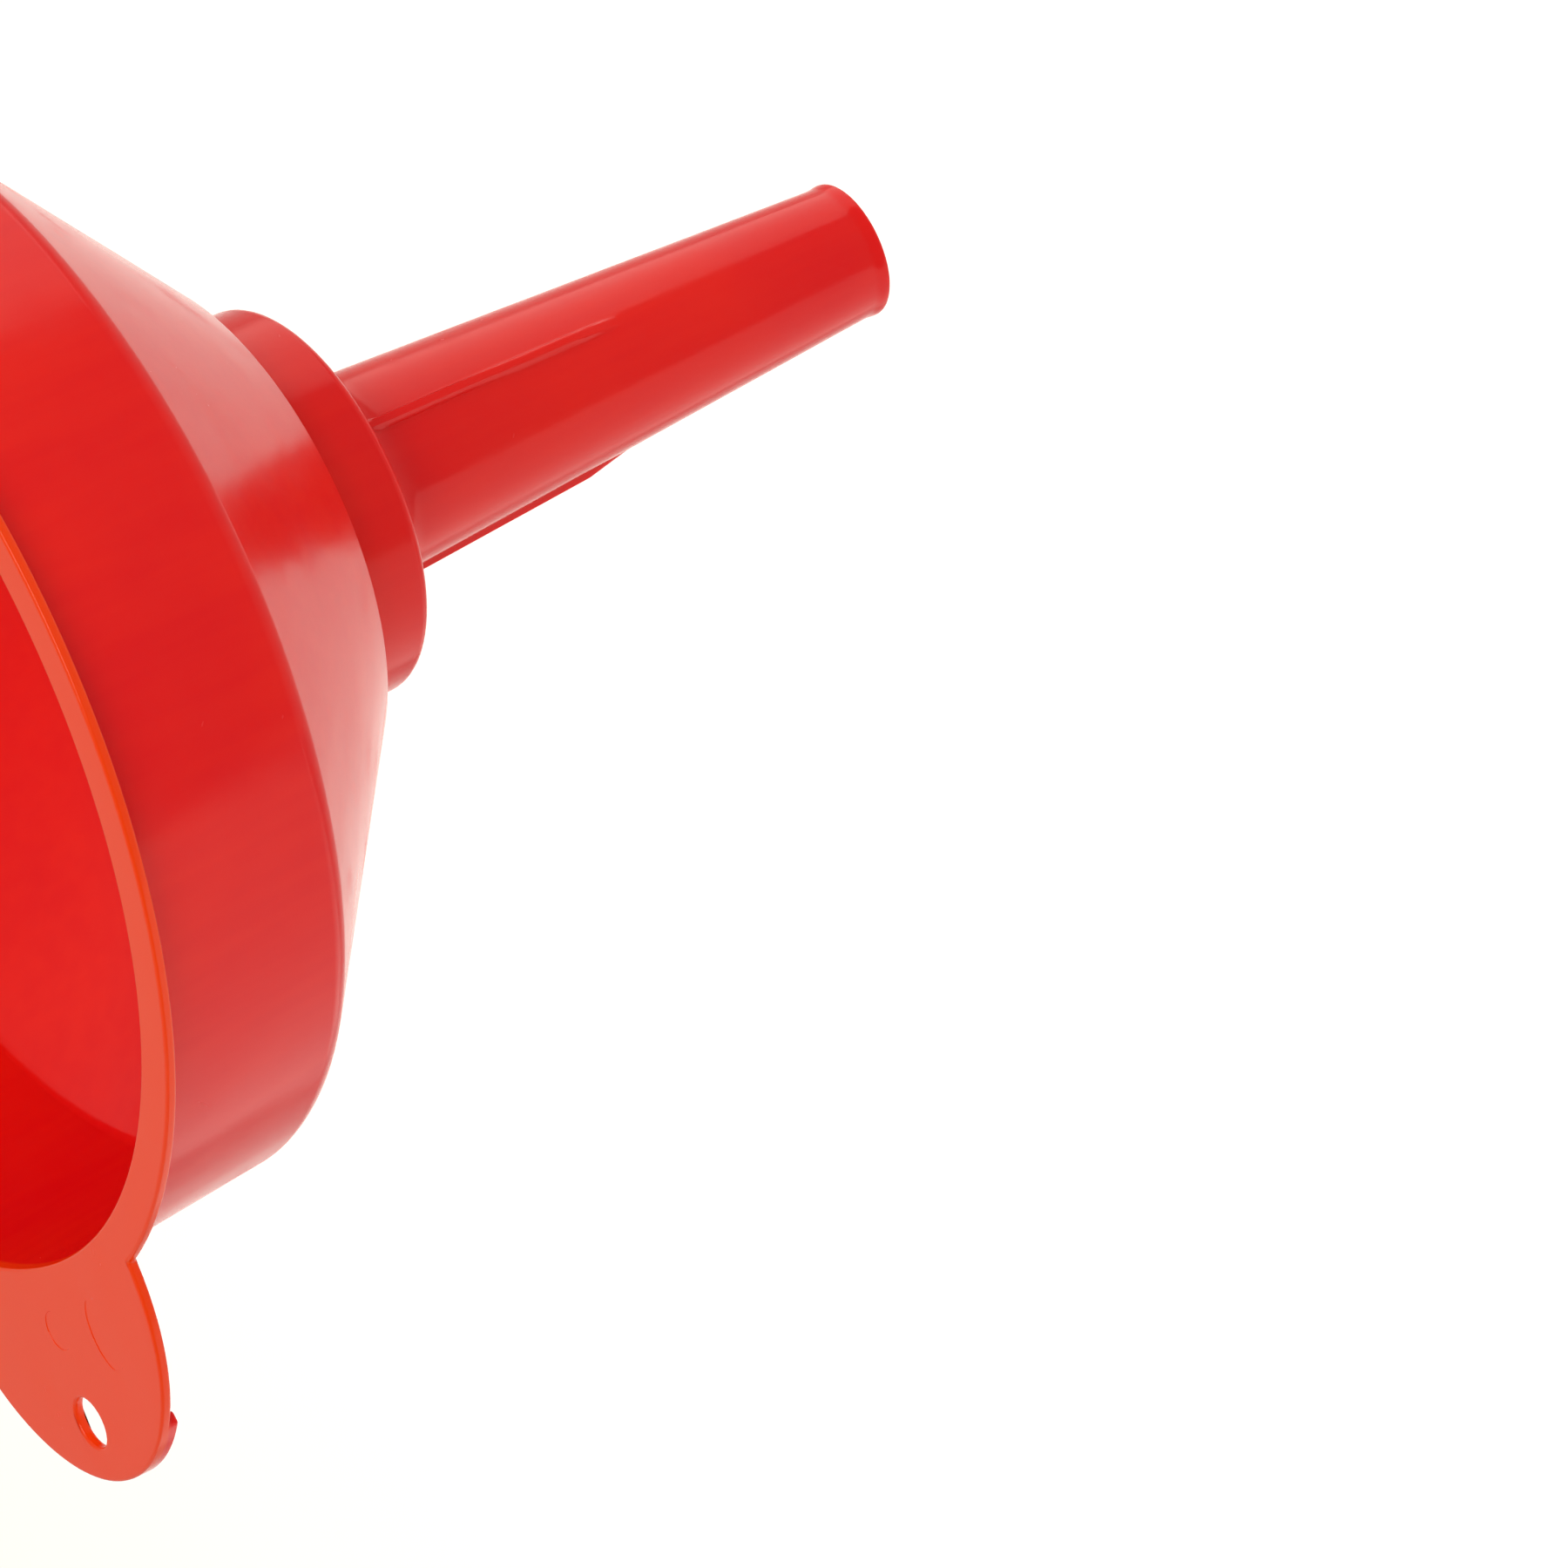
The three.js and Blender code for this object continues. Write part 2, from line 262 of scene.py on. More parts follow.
rim_z = cad_box[1][2] / MM
tip_z = cad_box[0][2] / MM
flange_radius = -cad_box[0][0] / MM
mouth_radius = flange_radius - FLANGE_WIDTH
tab_end = cad_box[1][0] / MM - NEAR
tab_centre = tab_end - TAB_RADIUS
collar_z = rim_z - COLLAR_HEIGHT
ledge_radius = POCKET_RADIUS + LEDGE_WIDTH


def circle_reach(angle, centre, radius):
    """How far out a ray at this angle leaves a circle that is centred on +X."""
    across_ray = centre * math.sin(angle)
    return centre * math.cos(angle) + math.sqrt(max(radius**2 - across_ray**2, 0))


def draw_outline(mesh, corners):
    """Draws a closed outline in the XZ plane from (radius, height, rounding, steps) corners, in mm.
    The rounding is how far an arc runs back along both sides of its corner."""
    verts = [mesh.verts.new((radius * MM, 0, height * MM)) for radius, height, _, _ in corners]
    face = mesh.faces.new(verts)
    for vert, (_, _, rounding, steps) in zip(verts, corners):
        if rounding:
            bmesh.ops.bevel(
                mesh,
                geom=[vert],
                offset=rounding * MM,
                offset_type="OFFSET",
                segments=steps,
                profile=0.5,
                affect="VERTICES",
                material=-1,
            )
    bmesh.ops.delete(mesh, geom=list(mesh.faces), context="FACES_KEEP_BOUNDARY")


def spin_outline(mesh, sectors):
    """Spins the outline around Z through (angle, steps) sectors that together make a full turn."""
    last = [*mesh.verts, *mesh.edges]
    for angle, steps in sectors:
        turned = bmesh.ops.spin(
            mesh,
            geom=last,
            cent=(0, 0, 0),
            axis=(0, 0, 1),
            angle=angle,
            steps=steps,
            use_merge=math.isclose(angle, 2 * math.pi),
        )
        last = turned["geom_last"]
    bmesh.ops.remove_doubles(mesh, verts=mesh.verts, dist=NEAR / 2 * MM)
    bmesh.ops.recalc_face_normals(mesh, faces=mesh.faces)


def finish_piece(name, mesh, material, body, slot, *nodes):
    """Makes a smooth-shaded piece that rides on a body and stands for these CAD nodes."""
    data = bpy.data.meshes.new(name)
    mesh.to_mesh(data)
    mesh.free()
    data.shade_smooth()
    data.set_sharp_from_angle(angle=math.radians(SHARP_ANGLE))
    data.materials.append(material)
    piece = bpy.data.objects.new(name, data)
    scene.collection.objects.link(piece)
    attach(piece, body)
    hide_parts(*nodes)
    return piece


POLYETHYLENE_IOR = 1.51
POLYETHYLENE_SPECULAR = 0.23
SCATTERED_SHARE = 0.25
SCATTER_DEPTH = 2.5
SCATTER_BY_HUE = (1.0, 0.25, 0.1)
SINK_DEPTH = 0.12
STREAK_DEPTH = 0.012
SCRATCH_DULLING = 0.05
# How far on each side of its height the flange's painted light blends in, in mm.
PAINTED_LIGHT_BLEND = 0.3


def moulded_polyethylene(name, hues, gloss, peel, painted_light_above=None, painted_light_hue=None):
    """Injection-moulded polyethylene, coloured right through. The polished steel leaves it glossy over
    a faint orange peel, flow and sink marks bend its reflections a little, light gets a little way into
    it, and handling has scratched and scuffed its gloss. Above painted_light_above mm the colour is
    painted lighter and yellower: painted light that stands in for light shining through the flange."""
    material, tree, output = new_material(name)
    place = add_node(tree, "ShaderNodeTexCoord", out="Object")

    # The noise in each pattern: its size in mm, its detail, and how it is turned and drawn out. The
    # scratches come about 0.4 mm wide, although real ones are a tenth of that.
    noise = {}
    for use, size, detail, turn, stretch in (
        ("pigment clouds", 30, 3.0, (0, 0, 0), 1),
        ("flow streaks", 3, 2.0, (0, 0, 0), 14),
        ("gloss patches", 18, 2.0, (0, 0, 0), 1),
        ("scratches", 1.1, 1.0, (0.5, 0.9, 0), 30),
        ("cross scratches", 1.3, 1.0, (-0.6, -0.7, 0), 25),
        ("scuffs", 9, 6.0, (0, 0, 0), 1),
        ("sink marks", 16, 1.0, (0, 0, 0), 1),
        ("orange peel", 1.3, 1.0, (0, 0, 0), 1),
    ):
        drawn_out = add_node(
            tree,
            "ShaderNodeMapping",
            {"Vector": place, "Rotation": turn, "Scale": (1, 1, stretch)},
            vector_type="TEXTURE",
        )
        noise[use] = add_node(
            tree,
            "ShaderNodeTexNoise",
            {"Vector": drawn_out, "Scale": 1 / (size * MM), "Detail": detail},
        )

    # What a pattern gives: the noise that it rises between, and the value that it rises from and to.
    amount = {}
    for use, low, high, least, most in (
        ("pigment clouds", 0.3, 0.7, 0, 0.75),
        ("flow streaks", 0.35, 0.65, 0, 0.25),
        ("gloss patches", 0.3, 0.7, gloss - 0.02, gloss + 0.03),
        ("scratches", 0.71, 0.77, 0, 1),
        ("cross scratches", 0.72, 0.78, 0, 1),
        ("scuffs", 0.56, 0.72, 0, 0.08),
    ):
        amount[use] = add_node(
            tree,
            "ShaderNodeMapRange",
            {"Value": noise[use], "From Min": low, "From Max": high, "To Min": least, "To Max": most},
        )

    # The pigment isn't quite evenly mixed.
    mixed = add_node(
        tree,
        "ShaderNodeMath",
        {0: amount["pigment clouds"], 1: amount["flow streaks"]},
        operation="ADD",
    )
    pigment = add_node(
        tree,
        "ShaderNodeMix",
        {MIX_SHARE: mixed, MIX_FIRST: linear(hues[0]), MIX_SECOND: linear(hues[1])},
        out=MIX_RESULT,
        data_type="RGBA",
    )
    # Painted light: above a given height the pigment blends into a lighter, yellower hue that stands in
    # for light shining through the flange.
    if painted_light_above:
        height = add_node(tree, "ShaderNodeSeparateXYZ", {"Vector": place}, out="Z")
        painted_light_share = add_node(
            tree,
            "ShaderNodeMapRange",
            {
                "Value": height,
                "From Min": (painted_light_above - PAINTED_LIGHT_BLEND) * MM,
                "From Max": (painted_light_above + PAINTED_LIGHT_BLEND) * MM,
            },
        )
        pigment = add_node(
            tree,
            "ShaderNodeMix",
            {MIX_SHARE: painted_light_share, MIX_FIRST: pigment, MIX_SECOND: linear(painted_light_hue)},
            out=MIX_RESULT,
            data_type="RGBA",
        )

    scratched = add_node(
        tree,
        "ShaderNodeMath",
        {0: amount["scratches"], 1: amount["cross scratches"]},
        operation="ADD",
        use_clamp=True,
    )
    worn = add_node(
        tree,
        "ShaderNodeMath",
        {0: scratched, 1: SCRATCH_DULLING, 2: amount["scuffs"]},
        operation="MULTIPLY_ADD",
    )
    roughness = add_node(
        tree, "ShaderNodeMath", {0: amount["gloss patches"], 1: worn}, operation="ADD"
    )
    normal = None
    for use, depth in (
        ("sink marks", SINK_DEPTH),
        ("flow streaks", STREAK_DEPTH),
        ("orange peel", peel),
    ):
        relief = {"Height": noise[use], "Distance": depth * MM}
        if normal:
            relief["Normal"] = normal
        normal = add_node(tree, "ShaderNodeBump", relief)
    shader = add_node(
        tree,
        "ShaderNodeBsdfPrincipled",
        {
            "Base Color": pigment,
            "Roughness": roughness,
            "Normal": normal,
            "IOR": POLYETHYLENE_IOR,
            "Specular IOR Level": POLYETHYLENE_SPECULAR,
            "Subsurface Weight": SCATTERED_SHARE,
            "Subsurface Radius": SCATTER_BY_HUE,
            "Subsurface Scale": SCATTER_DEPTH * MM,
        },
    )
    tree.links.new(shader, output.inputs["Surface"])
    return material


BODY_RED = ("#E60B14", "#EE1C12")
# The flange's hue is painted light: the top of the flange is coloured lighter and more orange for light
# shining through it, not for a second pigment.
FLANGE_PAINTED_LIGHT_RED = "#F8440C"
body_material = moulded_polyethylene(
    "glossy moulded polyethylene",
    BODY_RED,
    gloss=0.16,
    peel=0.006,
    painted_light_above=rim_z - FLANGE_THICKNESS,
    painted_light_hue=FLANGE_PAINTED_LIGHT_RED,
)


def skin_corner(before, corner, after, wall):
    """Where the outer skin turns: an inner corner moved out by the wall on both of its sides."""
    first = (corner - before).normalized()
    second = (after - corner).normalized()
    normal = Vector((-first.y - second.y, first.x + second.x)).normalized()
    spread = -first.y * normal.x + first.x * normal.y
    return corner + normal * wall / spread


# The rows and columns of the body's mesh. The flange has rings to pull out into the tab, and the ribs
# have rows and close columns of their own.
TAB_FOOT_GAP = 1.2
TAB_RINGS = (0.12, 0.25, 0.38, 0.51, 0.64, 0.76)
TAB_COLUMNS = 64
RIB_ROWS = (0.65, 0.45, 0.27)
RUN_OUT_ROWS = 4
RIB_ZONE = 6
RIB_COLUMNS = 12
SIDE_COLUMNS = 40
BACK_COLUMNS = 46
FILLET_STEPS = 12

tab_foot = mouth_radius + WALL + TAB_FOOT_GAP
mouth = Vector((mouth_radius, rim_z))
collar_foot = Vector((mouth_radius - COLLAR_DRAFT, collar_z))
cone_foot = Vector((ledge_radius, LEDGE_HEIGHT))
ledge_edge = Vector((POCKET_RADIUS, LEDGE_HEIGHT))
pocket_foot = Vector((POCKET_RADIUS - POCKET_DRAFT, WALL))
spout_entry = Vector((SPOUT_ROOT_RADIUS - SPOUT_WALL, WALL))
outer_pocket_foot = skin_corner(ledge_edge, pocket_foot, spout_entry, WALL)
outer_ledge_edge = skin_corner(cone_foot, ledge_edge, pocket_foot, WALL)
outer_cone_foot = skin_corner(collar_foot, cone_foot, ledge_edge, WALL)
outer_collar_foot = skin_corner(mouth, collar_foot, cone_foot, WALL)
flange_foot = rim_z - FLANGE_THICKNESS
collar_rise = flange_foot - outer_collar_foot.y
outer_collar_top = Vector(
    (outer_collar_foot.x + collar_rise * COLLAR_DRAFT / COLLAR_HEIGHT, flange_foot)
)
spout_slope = (SPOUT_ROOT_RADIUS - SPOUT_TIP_RADIUS) / -tip_z


def spout_skin(height):
    """The spout's outer radius at a height, without its ribs."""
    return SPOUT_ROOT_RADIUS + spout_slope * height


flange_rings = [tab_foot + (flange_radius - tab_foot) * share for share in TAB_RINGS]
rib_rows = [-RIB_LENGTH + row * RIB_RUN_OUT / RUN_OUT_ROWS for row in range(RUN_OUT_ROWS + 1)]
rib_rows += [-RIB_LENGTH * share for share in RIB_ROWS]

body = bmesh.new()
draw_outline(
    body,
    [
        (SPOUT_TIP_RADIUS + TIP_LIP, tip_z, 0, 0),
        (SPOUT_TIP_RADIUS + TIP_LIP, tip_z + TIP_LIP_LENGTH, 0.4, 2),
        (spout_skin(tip_z + 2 * TIP_LIP_LENGTH), tip_z + 2 * TIP_LIP_LENGTH, 0.6, 2),
        *((spout_skin(row), row, 0, 0) for row in rib_rows),
        (SPOUT_ROOT_RADIUS, 0, ROOT_FILLET_REACH, FILLET_STEPS),
        (*outer_pocket_foot, 1.6, 5),
        (*outer_ledge_edge, 1.0, 4),
        (*outer_cone_foot, 0.5, 3),
        (*outer_collar_foot, 1.7, 6),
        (*outer_collar_top, 0.8, 4),
        *((ring, flange_foot, 0, 0) for ring in (tab_foot, *flange_rings)),
        (flange_radius, flange_foot, 0, 0),
        (flange_radius, rim_z, 0, 0),
        *((ring, rim_z, 0, 0) for ring in (*reversed(flange_rings), tab_foot)),
        (*mouth, 0, 0),
        (*collar_foot, 1.0, 4),
        (*cone_foot, 0.6, 3),
        (*ledge_edge, 0, 0),
        (*pocket_foot, 1.0, 4),
        (*spout_entry, ENTRY_FILLET_REACH, FILLET_STEPS),
        (SPOUT_TIP_RADIUS - SPOUT_WALL, tip_z, 0, 0),
    ],
)

# The tab leaves the flange where the two circles cross. Columns are close there and at the ribs.
tab_angle = math.acos(
    (flange_radius**2 + tab_centre**2 - TAB_RADIUS**2) / (2 * flange_radius * tab_centre)
)
rib_zone = math.radians(RIB_ZONE)
rib_turn = math.radians(RIB_TURN)
third = 2 * math.pi / RIB_COUNT
bmesh.ops.rotate(body, cent=(0, 0, 0), matrix=Matrix.Rotation(-tab_angle, 3, "Z"), verts=body.verts)
spin_outline(
    body,
    [
        (2 * tab_angle, TAB_COLUMNS),
        (third - rib_zone - tab_angle + rib_turn, SIDE_COLUMNS),
        (2 * rib_zone, RIB_COLUMNS),
        (third - 2 * rib_zone, BACK_COLUMNS),
        (2 * rib_zone, RIB_COLUMNS),
        (third - rib_zone - tab_angle - rib_turn, SIDE_COLUMNS),
    ],
)

# Pull the flange out to the tab's outline, ring by ring. Over the skirt, the last ring goes where the
# skirt's inner side will stand.
ANGLE_NEAR = 1e-4
SKIRT_OVERLAP = 1

skirt_angle = math.atan2(
    math.sqrt(TAB_RADIUS**2 - (TAB_RADIUS - SKIRT_LENGTH) ** 2), tab_end - SKIRT_LENGTH
)
last_ring = flange_rings[-1]
for vert in body.verts:
    radius = math.hypot(vert.co.x, vert.co.y) / MM
    angle = math.atan2(vert.co.y, vert.co.x)
    inside_tab = abs(angle) < tab_angle - ANGLE_NEAR
    if not inside_tab or radius < tab_foot + NEAR or vert.co.z / MM < flange_foot - NEAR:
        continue
    edge = circle_reach(angle, tab_centre, TAB_RADIUS)
    reach = tab_foot + (edge - tab_foot) * (radius - tab_foot) / (flange_radius - tab_foot)
    over_skirt = abs(angle) < skirt_angle + math.radians(SKIRT_OVERLAP)
    if over_skirt and abs(radius - last_ring) < NEAR:
        reach = circle_reach(angle, tab_centre, TAB_RADIUS - SKIRT_WALL)
    vert.co.x *= reach / radius
    vert.co.y *= reach / radius

# The skirt: the last band of the tab's underside, drawn down under its round end.
band = []
for face in body.faces:
    middle = face.calc_center_median() / MM
    flat = abs(middle.z - flange_foot) < NEAR
    outer = math.hypot(middle.x, middle.y) > circle_reach(
        math.atan2(middle.y, middle.x), tab_centre, TAB_RADIUS - SKIRT_WALL
    )
    if flat and outer and middle.x > tab_end - SKIRT_LENGTH:
        band.append(face)
drawn = bmesh.ops.extrude_face_region(body, geom=band)
bmesh.ops.delete(body, geom=[face for face in band if face.is_valid], context="FACES")
bmesh.ops.translate(
    body,
    vec=(0, 0, (FLANGE_THICKNESS - SKIRT_DEPTH) * MM),
    verts=[part for part in drawn["geom"] if isinstance(part, bmesh.types.BMVert)],
)

# The vent ribs: a narrow crest raised off the spout's skin, which runs out at its lower end. Points of
# the root fillet that already lie further out than the crest stay.
SKIN_DEPTH = 0.1
RIB_LIMIT = 22

for vert in body.verts:
    radius = math.hypot(vert.co.x, vert.co.y) / MM
    height = vert.co.z / MM
    on_skin = spout_skin(height) - SKIN_DEPTH < radius < RIB_LIMIT
    if not (-RIB_LENGTH < height < WALL / 2 and on_skin):
        continue
    angle = math.atan2(vert.co.y, vert.co.x) - rib_turn
    turn = (angle + third / 2) % third - third / 2
    off_crest = abs(radius * math.sin(turn)) / (RIB_WIDTH / 2)
    share = min(max((RIB_FLANK_FOOT - off_crest) / RIB_FLANK, 0), 1)
    run_out = min((height + RIB_LENGTH) / RIB_RUN_OUT, 1)
    crest = spout_skin(height) + RIB_HEIGHT * run_out * share * share * (3 - 2 * share)
    if crest > radius:
        vert.co.x *= crest / radius
        vert.co.y *= crest / radius

# The hang hole goes right through, and all the body's sharp edges are rounded. Then a plain oval
# recess and a round ejector mark are pressed into the tab.
OVAL_PLACE = (90.6, 14.0)
OVAL_SIZE = (5.4, 3.6)
MARK_PLACE = (89.3, 0)
MARK_SIZE = (2.9, 2.9)
RECESS_DEPTH = 0.1
RECESS_SLOPE = 1.05
RIB_MARGIN = 5


def combine(mesh, tool, operation):
    """Joins a closed mesh to another, or cuts it out of it, and gives back the result."""
    pieces = []
    for part in (mesh, tool):
        data = bpy.data.meshes.new("part")
        part.to_mesh(data)
        part.free()
        pieces.append(bpy.data.objects.new("part", data))
        scene.collection.objects.link(pieces[-1])
    step = pieces[0].modifiers.new("step", "BOOLEAN")
    step.operation = operation
    step.solver = "EXACT"
    step.object = pieces[1]
    finished = bpy.data.meshes.new_from_object(
        pieces[0].evaluated_get(bpy.context.evaluated_depsgraph_get())
    )
    for piece in pieces:
        bpy.data.objects.remove(piece)
    result = bmesh.new()
    result.from_mesh(finished)
    return result


def round_edges(mesh, edges, reach):
    """Rounds these edges over a reach in mm."""
    bmesh.ops.bevel(
        mesh,
        geom=edges,
        offset=reach * MM,
        offset_type="OFFSET",
        segments=EDGE_STEPS,
        profile=0.5,
        affect="EDGES",
        clamp_overlap=False,
        material=-1,
    )


def round_bar(radii, depth, place):
    """A closed bar along Z, or a tapered one, centred on a place in mm."""
    made = bmesh.new()
    bmesh.ops.create_cone(
        made,
        cap_ends=True,
        segments=BAR_STEPS,
        radius1=radii[0] * MM,
        radius2=radii[1] * MM,
        depth=depth * MM,
        matrix=Matrix.Translation(Vector(place) * MM),
    )
    return made


hole_place = (tab_end - HOLE_SETBACK, -HOLE_SIDE, rim_z)
body = combine(body, round_bar((HOLE_RADIUS, HOLE_RADIUS), 4 * SKIRT_DEPTH, hole_place), "DIFFERENCE")
sharp = []
for part in body.edges:
    middle = (part.verts[0].co + part.verts[1].co) / (2 * MM)
    on_spout = -RIB_LENGTH - RIB_MARGIN < middle.z < RIB_MARGIN
    if not on_spout and part.calc_face_angle(0) > math.radians(SHARP_ANGLE):
        sharp.append(part)
round_edges(body, sharp, EDGE_ROUND)
for place, size in ((OVAL_PLACE, OVAL_SIZE), (MARK_PLACE, MARK_SIZE)):
    recess = round_bar((1, RECESS_SLOPE), 2 * RECESS_DEPTH, (0, 0, 0))
    bmesh.ops.transform(
        recess,
        matrix=Matrix.Translation(Vector((*place, rim_z)) * MM) @ Matrix.Diagonal((*size, 1, 1)),
        verts=recess.verts,
    )
    body = combine(body, recess, "DIFFERENCE")
funnel = finish_piece(
    "funnel_moulding", body, body_material, "funnel", "red_polyethylene", "funnel_body"
)
even = funnel.modifiers.new("even shading", "WEIGHTED_NORMAL")
even.mode = "FACE_AREA"
even.keep_sharp = True


# The strainer's frame: a ring moulded in the same polyethylene, with a spigot that drops into the
# pocket, four spokes that carry the gauze, and a hub with the post that the knob is pushed onto.
SEAT_GAP = 0.2
RING_CLEARANCE = 0.6
SPIGOT_CLEARANCE = 0.5
SPIGOT_WALL = 1.5
SPIGOT_DEPTH = 6.0
FRAME_FLOOR = 1.2
REBATE_WIDTH = 6.3
REBATE_DEPTH = 2.0
SPOKE_COUNT = 4
SPOKE_WIDTH = 1.6
SPOKE_HEIGHT = 2.6
HUB_RADIUS = 5.0
POST_RADIUS = 2.2
POST_HEIGHT = 8.0
SPOKE_ROUND = 0.3
RING_STEPS = 144
HUB_STEPS = 64
# Where an outline that is solid in the middle starts: so near the axis that its points merge there.
ON_AXIS = 0.001
STRAINER_RED = ("#C60A18", "#D01A17")

strainer_material = moulded_polyethylene(
    "satin moulded polyethylene", STRAINER_RED, gloss=0.3, peel=0.01
)
frame_z = LEDGE_HEIGHT + SEAT_GAP
frame_floor = frame_z + FRAME_FLOOR
spigot_radius = POCKET_RADIUS - SPIGOT_CLEARANCE
strainer_bore = spigot_radius - SPIGOT_WALL
rebate_radius = strainer_bore + REBATE_WIDTH
frame_radius = ledge_radius - RING_CLEARANCE

strainer = bmesh.new()
draw_outline(
    strainer,
    [
        (strainer_bore, frame_z - SPIGOT_DEPTH, 0.5, 3),
        (spigot_radius, frame_z - SPIGOT_DEPTH, 0.5, 3),
        (spigot_radius, frame_z, 0.3, 2),
        (frame_radius, frame_z, 0.4, 3),
        (frame_radius, frame_floor + REBATE_DEPTH, 0.6, 4),
        (rebate_radius, frame_floor + REBATE_DEPTH, 0.4, 3),
        (rebate_radius, frame_floor, 0.2, 2),
        (strainer_bore, frame_floor, 0.4, 3),
    ],
)
spin_outline(strainer, [(2 * math.pi, RING_STEPS)])
for turn in range(SPOKE_COUNT // 2):
    spoke = bmesh.new()
    bmesh.ops.create_cube(spoke, size=MM)
    length = 2 * strainer_bore + SPIGOT_WALL
    stretch = Matrix.Diagonal((length, SPOKE_WIDTH, SPOKE_HEIGHT, 1))
    spin = Matrix.Rotation(2 * math.pi * turn / SPOKE_COUNT, 4, "Z")
    lift = Matrix.Translation((0, 0, (frame_floor - SPOKE_HEIGHT / 2) * MM))
    bmesh.ops.transform(spoke, matrix=spin @ lift @ stretch, verts=spoke.verts)
    round_edges(spoke, list(spoke.edges), SPOKE_ROUND)
    strainer = combine(strainer, spoke, "UNION")
hub = bmesh.new()
draw_outline(
    hub,
    [
        (ON_AXIS, frame_floor - SPOKE_HEIGHT, 0, 0),
        (HUB_RADIUS, frame_floor - SPOKE_HEIGHT, 0.5, 3),
        (HUB_RADIUS, frame_floor, 0.3, 3),
        (POST_RADIUS, frame_floor, 0.2, 3),
        (POST_RADIUS, frame_floor + POST_HEIGHT, 0.5, 4),
        (ON_AXIS, frame_floor + POST_HEIGHT, 0, 0),
    ],
)
spin_outline(hub, [(2 * math.pi, HUB_STEPS)])
strainer = combine(strainer, hub, "UNION")
finish_piece(
    "strainer_moulding",
    strainer,
    strainer_material,
    "strainer",
    "strainer_polyethylene",
    "strainer_frame",
)


# The gauze: a round piece of plain woven brass wire that lies on the spokes, with its edge under the
# retaining ring and its middle under the knob. Drawn at 1.25 mm between wires, about twice the pitch
# of real fuel gauze, so that the weave shows.
WIRE_PITCH = 1.25
WIRE_RADIUS = 0.098
WEAVE_HEIGHT = 0.1
FIT_GAP = 0.3
LAYER_GAP = 0.1
GAUZE_THICKNESS = 0.4
WIRE_SIDES = 6
TARNISH_SIZE = 6
TARNISHED_GLOSS = 0.42
RUBBED_GLOSS = 0.24
DIE_LINE_SPACING = 0.15
DIE_LINE_DEPTH = 0.003
BRASS_HUES = ("#A5843F", "#C9A85C")


def woven_brass(name):
    """Drawn brass wire, bright where it is rubbed and browner where it has begun to tarnish."""
    material, tree, output = new_material(name)
    place = add_node(tree, "ShaderNodeTexCoord", out="Object")
    rubbed = add_node(
        tree,
        "ShaderNodeTexNoise",
        {"Vector": place, "Scale": 1 / (TARNISH_SIZE * MM), "Detail": 4.0},
    )
    hue = add_node(
        tree,
        "ShaderNodeMix",
        {MIX_SHARE: rubbed, MIX_FIRST: linear(BRASS_HUES[0]), MIX_SECOND: linear(BRASS_HUES[1])},
        out=MIX_RESULT,
        data_type="RGBA",
    )
    gloss = add_node(
        tree,
        "ShaderNodeMapRange",
        {"Value": rubbed, "To Min": TARNISHED_GLOSS, "To Max": RUBBED_GLOSS},
    )
    # Die lines along the wire, drawn coarser than real ones.
    grain = add_node(
        tree,
        "ShaderNodeTexNoise",
        {"Vector": place, "Scale": 1 / (DIE_LINE_SPACING * MM), "Detail": 1.0},
    )
    relief = add_node(tree, "ShaderNodeBump", {"Height": grain, "Distance": DIE_LINE_DEPTH * MM})
    shader = add_node(
        tree,
        "ShaderNodeBsdfPrincipled",
        {"Base Color": hue, "Roughness": gloss, "Normal": relief, "Metallic": 1.0},
    )
    tree.links.new(shader, output.inputs["Surface"])
    return material


gauze_z = frame_floor + LAYER_GAP + GAUZE_THICKNESS / 2
gauze_radius = rebate_radius - FIT_GAP - 2 * WIRE_RADIUS
post_hole = POST_RADIUS + FIT_GAP + 2 * WIRE_RADIUS
half_pitch = WIRE_PITCH / 2
rows = int(gauze_radius / WIRE_PITCH)


def straight_wire(offset, start, end):
    """One closed, straight wire along X, from one half pitch to another."""
    wire = bmesh.new()
    bmesh.ops.create_circle(
        wire,
        cap_ends=True,
        segments=WIRE_SIDES,
        radius=WIRE_RADIUS * MM,
        matrix=Matrix.Translation(Vector((start * half_pitch, offset, 0)) * MM)
        @ Matrix.Rotation(math.pi / 2, 4, "Y"),
    )
    bmesh.ops.spin(
        wire,
        geom=[*wire.faces, *wire.edges, *wire.verts],
        cent=(0, 0, 0),
        axis=(0, 0, 1),
        dvec=(half_pitch * MM, 0, 0),
        angle=0,
        steps=end - start,
    )
    return wire


# Warp and weft are alike but for a quarter turn, and each wire goes over one and under the next.
gauze = bmesh.new()
for phase, turn in ((0, 0), (1, math.pi / 2)):
    for row in range(-rows, rows + 1):
        offset = row * WIRE_PITCH
        last = int(math.sqrt(gauze_radius**2 - offset**2) / half_pitch)
        spans = [(-last, last)]
        if abs(offset) < post_hole:
            first = math.ceil(math.sqrt(post_hole**2 - offset**2) / half_pitch)
            spans = [(-last, -first), (first, last)]
        for start, end in spans:
            wire = straight_wire(offset, start, end)
            for vert in wire.verts:
                wave = math.cos(math.pi * (vert.co.x / (WIRE_PITCH * MM) + row + phase))
                vert.co.z += WEAVE_HEIGHT * MM * wave
            wire.transform(Matrix.Rotation(turn, 4, "Z"))
            data = bpy.data.meshes.new("wire")
            wire.to_mesh(data)
            wire.free()
            gauze.from_mesh(data)
            bpy.data.meshes.remove(data)
bmesh.ops.recalc_face_normals(gauze, faces=gauze.faces)
bmesh.ops.translate(gauze, vec=(0, 0, gauze_z * MM), verts=gauze.verts)
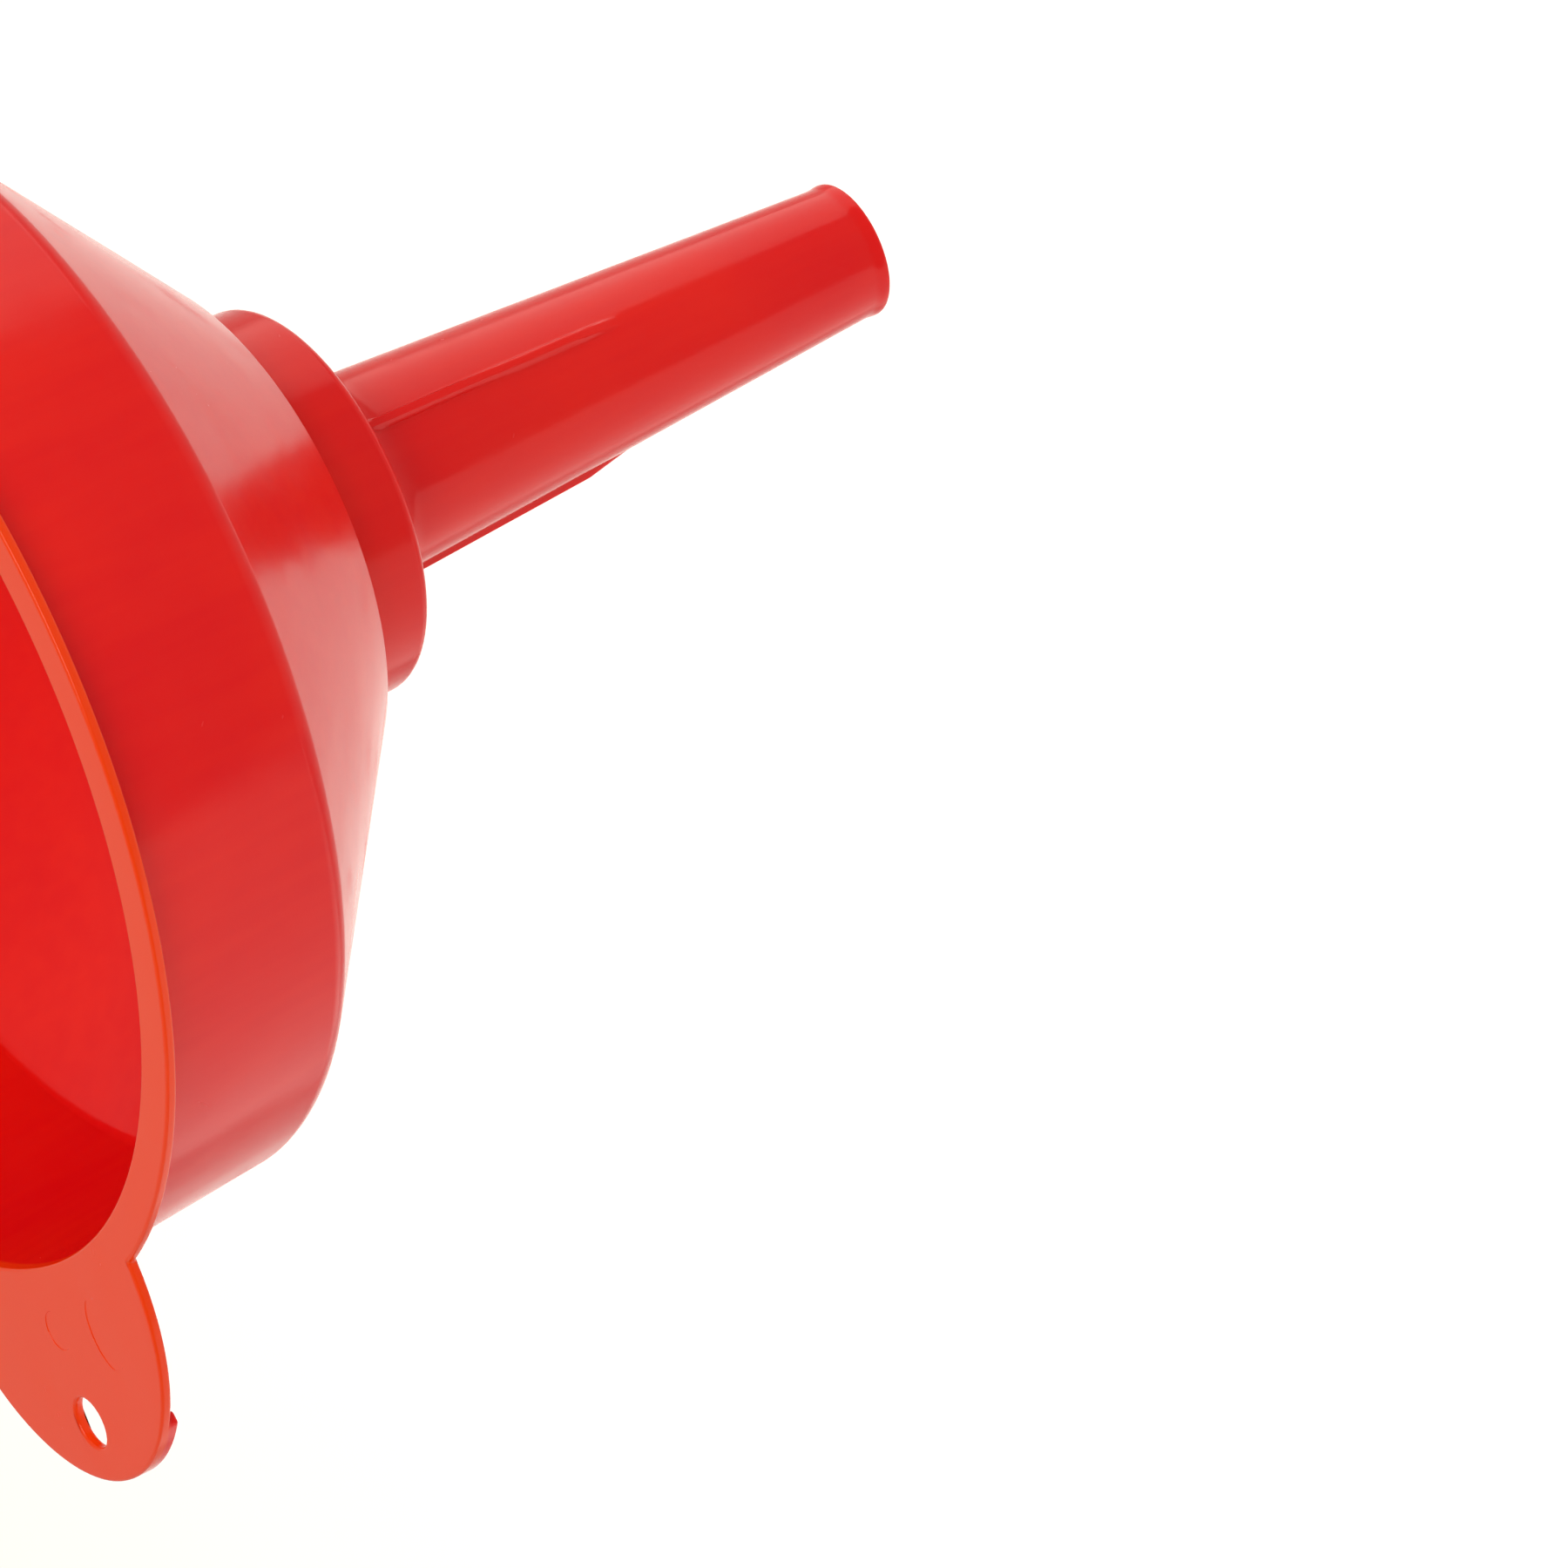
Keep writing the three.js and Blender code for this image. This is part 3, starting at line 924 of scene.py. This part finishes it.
finish_piece(
    "woven_gauze",
    gauze,
    woven_brass("drawn brass wire"),
    "strainer",
    "brass_gauze",
    "strainer_gauze",
)


# The retaining ring: a flat ring moulded in the frame's polyethylene, which snaps into the frame's
# rebate and holds the gauze's edge down.
RETAINER_WIDTH = 5.0
RETAINER_THICKNESS = 1.2

clamp_z = frame_floor + GAUZE_THICKNESS + 2 * LAYER_GAP
retainer_outer = rebate_radius - FIT_GAP
retainer_inner = retainer_outer - RETAINER_WIDTH
retainer = bmesh.new()
draw_outline(
    retainer,
    [
        (retainer_inner, clamp_z, 0.25, 2),
        (retainer_outer, clamp_z, 0.25, 2),
        (retainer_outer, clamp_z + RETAINER_THICKNESS, 0.25, 3),
        (retainer_inner, clamp_z + RETAINER_THICKNESS, 0.5, 4),
    ],
)
spin_outline(retainer, [(2 * math.pi, RING_STEPS)])
finish_piece(
    "retaining_ring",
    retainer,
    strainer_material,
    "strainer",
    "strainer_polyethylene",
    "gauze_retaining_ring",
)


# The lift knob: a round moulding in the same polyethylene, pushed onto the frame's post. Its foot
# holds the middle of the gauze down, and its waist and head are what the fingers lift it all by.
KNOB_HEIGHT = 15.0
KNOB_RADIUS = 6.0
KNOB_NECK_WALL = 1.1
KNOB_STEPS = 72

knob_bore = POST_RADIUS + FIT_GAP
knob_bore_top = frame_floor + POST_HEIGHT + FIT_GAP
knob_neck = knob_bore + KNOB_NECK_WALL
knob_top = clamp_z + KNOB_HEIGHT
knob = bmesh.new()
draw_outline(
    knob,
    [
        (ON_AXIS, knob_bore_top, 0, 0),
        (knob_bore, knob_bore_top, 0.2, 2),
        (knob_bore, clamp_z, 0.2, 2),
        (HUB_RADIUS, clamp_z, 0.25, 2),
        (HUB_RADIUS, clamp_z + RETAINER_THICKNESS, 0.3, 3),
        (knob_neck, clamp_z + 2 * RETAINER_THICKNESS, 0.6, 4),
        (knob_neck, knob_top - KNOB_RADIUS, 0.8, 4),
        (KNOB_RADIUS, knob_top - KNOB_RADIUS / 2, 1.0, 5),
        (KNOB_RADIUS, knob_top, 1.9, 8),
        (ON_AXIS, knob_top, 0, 0),
    ],
)
spin_outline(knob, [(2 * math.pi, KNOB_STEPS)])
finish_piece(
    "knob_moulding", knob, strainer_material, "strainer", "strainer_polyethylene", "lift_knob"
)

bpy.context.view_layer.update()
